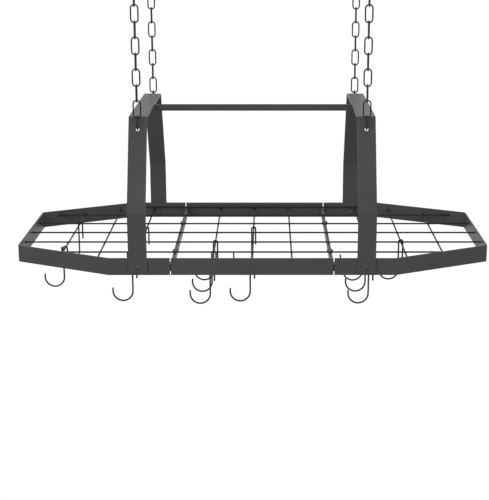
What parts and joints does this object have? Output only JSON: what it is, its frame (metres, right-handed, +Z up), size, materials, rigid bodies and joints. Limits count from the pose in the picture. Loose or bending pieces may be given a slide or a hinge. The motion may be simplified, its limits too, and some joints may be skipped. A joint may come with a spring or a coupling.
{
  "type": "hanging pot rack",
  "caption": "Eight-sided steel band shelf with a welded wire grid, hung level on chains from ceiling hooks under two bent flat-bar brackets, with loose S-hooks below.",
  "frame": {"origin": "centre of the four ceiling hooks, on the ceiling plane that their collars seat against", "axes": "+Z up into the ceiling, +X along the shelf's length to the right, -Y to the front of the shelf"},
  "size_m": [0.84, 0.4362, 0.6247],
  "materials": {
    "frame_coat": "graphite powder coat, semi-matt, fine texture",
    "grid_coat": "graphite powder coat, semi-matt",
    "chain_coat": "graphite coat on welded links, satin",
    "hook_coat": "dark graphite coat on bent wire, satin",
    "fastener_coat": "blackened steel, satin"
  },
  "bodies": {
    "ceiling": {"ceiling_hook_front_left": "hook_coat", "ceiling_hook_front_right": "hook_coat", "ceiling_hook_rear_left": "hook_coat", "ceiling_hook_rear_right": "hook_coat"},
    "top_link_front_left": {"top_link_front_left": "chain_coat"},
    "top_link_front_right": {"top_link_front_right": "chain_coat"},
    "top_link_rear_left": {"top_link_rear_left": "chain_coat"},
    "top_link_rear_right": {"top_link_rear_right": "chain_coat"},
    "chain_front_left": {"chain_front_left": "chain_coat"},
    "chain_front_right": {"chain_front_right": "chain_coat"},
    "chain_rear_left": {"chain_rear_left": "chain_coat"},
    "chain_rear_right": {"chain_rear_right": "chain_coat"},
    "link_hook_front_left": {"link_hook_front_left": "hook_coat"},
    "link_hook_front_right": {"link_hook_front_right": "hook_coat"},
    "link_hook_rear_left": {"link_hook_rear_left": "hook_coat"},
    "link_hook_rear_right": {"link_hook_rear_right": "hook_coat"},
    "rack": {"left_end_rail": "frame_coat", "right_end_rail": "frame_coat", "front_centre_rail": "frame_coat", "rear_centre_rail": "frame_coat", "left_end_bar": "frame_coat", "right_end_bar": "frame_coat", "left_centre_bar": "frame_coat", "right_centre_bar": "frame_coat", "left_seam_tabs": "frame_coat", "right_seam_tabs": "frame_coat", "left_grid": "grid_coat", "centre_grid": "grid_coat", "right_grid": "grid_coat", "seam_screws": "fastener_coat", "seam_nuts": "fastener_coat", "left_bracket": "frame_coat", "right_bracket": "frame_coat", "crossbar": "frame_coat", "bracket_bolts": "fastener_coat", "bracket_nuts": "fastener_coat"},
    "s_hook_1": {"s_hook_1": "hook_coat"},
    "s_hook_2": {"s_hook_2": "hook_coat"},
    "s_hook_3": {"s_hook_3": "hook_coat"},
    "s_hook_4": {"s_hook_4": "hook_coat"},
    "s_hook_5": {"s_hook_5": "hook_coat"},
    "s_hook_6": {"s_hook_6": "hook_coat"},
    "s_hook_7": {"s_hook_7": "hook_coat"},
    "s_hook_8": {"s_hook_8": "hook_coat"},
    "s_hook_9": {"s_hook_9": "hook_coat"},
    "s_hook_10": {"s_hook_10": "hook_coat"},
    "s_hook_11": {"s_hook_11": "hook_coat"},
    "s_hook_12": {"s_hook_12": "hook_coat"},
    "s_hook_13": {"s_hook_13": "hook_coat"},
    "s_hook_14": {"s_hook_14": "hook_coat"}
  },
  "joints": [
    {"name": "front_left_side_sway", "type": "hinge", "parent": "ceiling", "child": "top_link_front_left", "pos_m": [-0.197, -0.15468, -0.0285], "axis": [0, 1, 0], "range_deg": [-15, 15]},
    {"name": "front_left_front_sway", "type": "hinge", "parent": "top_link_front_left", "child": "chain_front_left", "pos_m": [-0.197, -0.15468, -0.0546], "axis": [1, 0, 0], "range_deg": [-15, 15]},
    {"name": "front_left_hook_tilt", "type": "hinge", "parent": "chain_front_left", "child": "link_hook_front_left", "pos_m": [-0.197, -0.15468, -0.269], "axis": [1, 0, 0], "range_deg": [-15, 15]},
    {"name": "front_right_side_sway", "type": "hinge", "parent": "ceiling", "child": "top_link_front_right", "pos_m": [0.197, -0.15468, -0.0285], "axis": [0, 1, 0], "range_deg": [-15, 15]},
    {"name": "front_right_front_sway", "type": "hinge", "parent": "top_link_front_right", "child": "chain_front_right", "pos_m": [0.197, -0.15468, -0.0546], "axis": [1, 0, 0], "range_deg": [-15, 15]},
    {"name": "front_right_hook_tilt", "type": "hinge", "parent": "chain_front_right", "child": "link_hook_front_right", "pos_m": [0.197, -0.15468, -0.269], "axis": [1, 0, 0], "range_deg": [-15, 15]},
    {"name": "rear_left_side_sway", "type": "hinge", "parent": "ceiling", "child": "top_link_rear_left", "pos_m": [-0.197, 0.15468, -0.0285], "axis": [0, 1, 0], "range_deg": [-15, 15]},
    {"name": "rear_left_front_sway", "type": "hinge", "parent": "top_link_rear_left", "child": "chain_rear_left", "pos_m": [-0.197, 0.15468, -0.0546], "axis": [1, 0, 0], "range_deg": [-15, 15]},
    {"name": "rear_left_hook_tilt", "type": "hinge", "parent": "chain_rear_left", "child": "link_hook_rear_left", "pos_m": [-0.197, 0.15468, -0.269], "axis": [1, 0, 0], "range_deg": [-15, 15]},
    {"name": "rear_right_side_sway", "type": "hinge", "parent": "ceiling", "child": "top_link_rear_right", "pos_m": [0.197, 0.15468, -0.0285], "axis": [0, 1, 0], "range_deg": [-15, 15]},
    {"name": "rear_right_front_sway", "type": "hinge", "parent": "top_link_rear_right", "child": "chain_rear_right", "pos_m": [0.197, 0.15468, -0.0546], "axis": [1, 0, 0], "range_deg": [-15, 15]},
    {"name": "rear_right_hook_tilt", "type": "hinge", "parent": "chain_rear_right", "child": "link_hook_rear_right", "pos_m": [0.197, 0.15468, -0.269], "axis": [1, 0, 0], "range_deg": [-15, 15]},
    {"name": "rack_side_tilt", "type": "hinge", "parent": "link_hook_front_left", "child": "rack", "pos_m": [-0.197, -0.15468, -0.2899], "axis": [0, 1, 0], "range_deg": [-15, 15]},
    {"name": "s_hook_1_swing", "type": "hinge", "parent": "rack", "child": "s_hook_1", "pos_m": [-0.3396, -0.10115, -0.51549], "axis": [0, 1, 0], "range_deg": [-35, 35]},
    {"name": "s_hook_2_swing", "type": "hinge", "parent": "rack", "child": "s_hook_2", "pos_m": [-0.3396, 0.08522, -0.51549], "axis": [0, 1, 0], "range_deg": [-35, 35]},
    {"name": "s_hook_3_swing", "type": "hinge", "parent": "rack", "child": "s_hook_3", "pos_m": [-0.2056, -0.18707, -0.51549], "axis": [0, 1, 0], "range_deg": [-35, 35]},
    {"name": "s_hook_4_swing", "type": "hinge", "parent": "rack", "child": "s_hook_4", "pos_m": [-0.2056, 0.04088, -0.51549], "axis": [0, 1, 0], "range_deg": [-35, 35]},
    {"name": "s_hook_5_swing", "type": "hinge", "parent": "rack", "child": "s_hook_5", "pos_m": [-0.0693, -0.203, -0.51549], "axis": [0, 1, 0], "range_deg": [-35, 35]},
    {"name": "s_hook_6_swing", "type": "hinge", "parent": "rack", "child": "s_hook_6", "pos_m": [-0.0693, -0.13302, -0.51549], "axis": [0, 1, 0], "range_deg": [-35, 35]},
    {"name": "s_hook_7_swing", "type": "hinge", "parent": "rack", "child": "s_hook_7", "pos_m": [-0.0693, -0.06028, -0.51549], "axis": [0, 1, 0], "range_deg": [-35, 35]},
    {"name": "s_hook_8_swing", "type": "hinge", "parent": "rack", "child": "s_hook_8", "pos_m": [0, -0.18914, -0.51549], "axis": [0, 1, 0], "range_deg": [-35, 35]},
    {"name": "s_hook_9_swing", "type": "hinge", "parent": "rack", "child": "s_hook_9", "pos_m": [0, 0.04088, -0.51549], "axis": [0, 1, 0], "range_deg": [-35, 35]},
    {"name": "s_hook_10_swing", "type": "hinge", "parent": "rack", "child": "s_hook_10", "pos_m": [0.2056, -0.20092, -0.51549], "axis": [0, 1, 0], "range_deg": [-35, 35]},
    {"name": "s_hook_11_swing", "type": "hinge", "parent": "rack", "child": "s_hook_11", "pos_m": [0.2056, -0.13095, -0.51549], "axis": [0, 1, 0], "range_deg": [-35, 35]},
    {"name": "s_hook_12_swing", "type": "hinge", "parent": "rack", "child": "s_hook_12", "pos_m": [0.2056, -0.06236, -0.51549], "axis": [0, 1, 0], "range_deg": [-35, 35]},
    {"name": "s_hook_13_swing", "type": "hinge", "parent": "rack", "child": "s_hook_13", "pos_m": [0.2056, 0.02979, -0.51549], "axis": [0, 1, 0], "range_deg": [-35, 35]},
    {"name": "s_hook_14_swing", "type": "hinge", "parent": "rack", "child": "s_hook_14", "pos_m": [0.2726, -0.05473, -0.51549], "axis": [0, 1, 0], "range_deg": [-35, 35]}
  ],
  "couplings": [
    {"joint": "front_left_hook_tilt", "follows": "front_left_front_sway", "ratio": -1},
    {"joint": "front_right_side_sway", "follows": "front_left_side_sway", "ratio": 1},
    {"joint": "front_right_front_sway", "follows": "front_left_front_sway", "ratio": 1},
    {"joint": "front_right_hook_tilt", "follows": "front_left_front_sway", "ratio": -1},
    {"joint": "rear_left_side_sway", "follows": "front_left_side_sway", "ratio": 1},
    {"joint": "rear_left_front_sway", "follows": "front_left_front_sway", "ratio": 1},
    {"joint": "rear_left_hook_tilt", "follows": "front_left_front_sway", "ratio": -1},
    {"joint": "rear_right_side_sway", "follows": "front_left_side_sway", "ratio": 1},
    {"joint": "rear_right_front_sway", "follows": "front_left_front_sway", "ratio": 1},
    {"joint": "rear_right_hook_tilt", "follows": "front_left_front_sway", "ratio": -1},
    {"joint": "rack_side_tilt", "follows": "front_left_side_sway", "ratio": -1}
  ]
}
